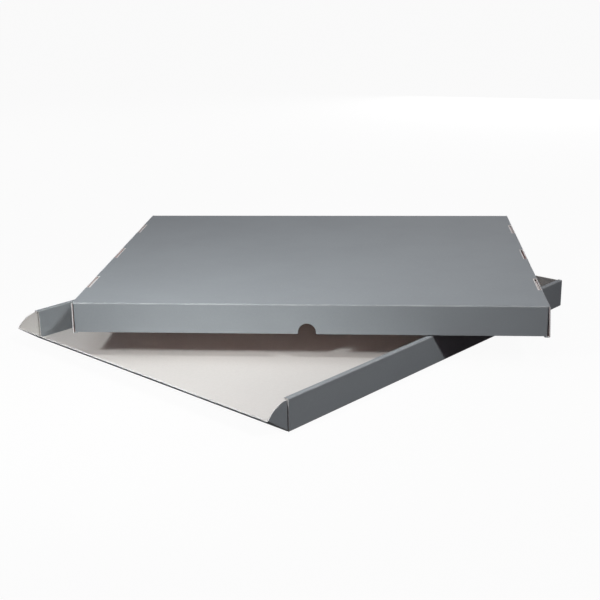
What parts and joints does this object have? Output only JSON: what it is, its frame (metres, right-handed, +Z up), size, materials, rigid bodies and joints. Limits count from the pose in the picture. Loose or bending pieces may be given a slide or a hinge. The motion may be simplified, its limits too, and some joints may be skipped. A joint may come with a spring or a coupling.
{
  "type": "archival print box",
  "caption": "Shallow folded-board box for flat prints: rolled side walls, a front that drops on its crease, and a full-depth lid with thumb notches lying turned on the tray.",
  "frame": {"origin": "on the table, at the middle of the underside of the tray's floor", "axes": "+X to the right across the tray, seen from the drop front; -Y out through the drop front; +Z up"},
  "size_m": [0.707, 0.6979, 0.073],
  "materials": {
    "tray_board": "matt grey outside, off-white inside, pale core at the cut edges",
    "front_board": "matt grey outside, off-white inside, pale core at the cut edges",
    "lid_board": "matt grey outside, off-white inside, pale core at the cut edges"
  },
  "bodies": {
    "tray": {"base_tray": "tray_board", "lid": "lid_board"},
    "front": {"drop_front": "front_board"}
  },
  "joints": [
    {"name": "front_crease", "type": "hinge", "parent": "tray", "child": "front", "pos_m": [0, -0.26535, 0.00065], "axis": [-1, 0, 0], "range_deg": [-35, 55]}
  ]
}
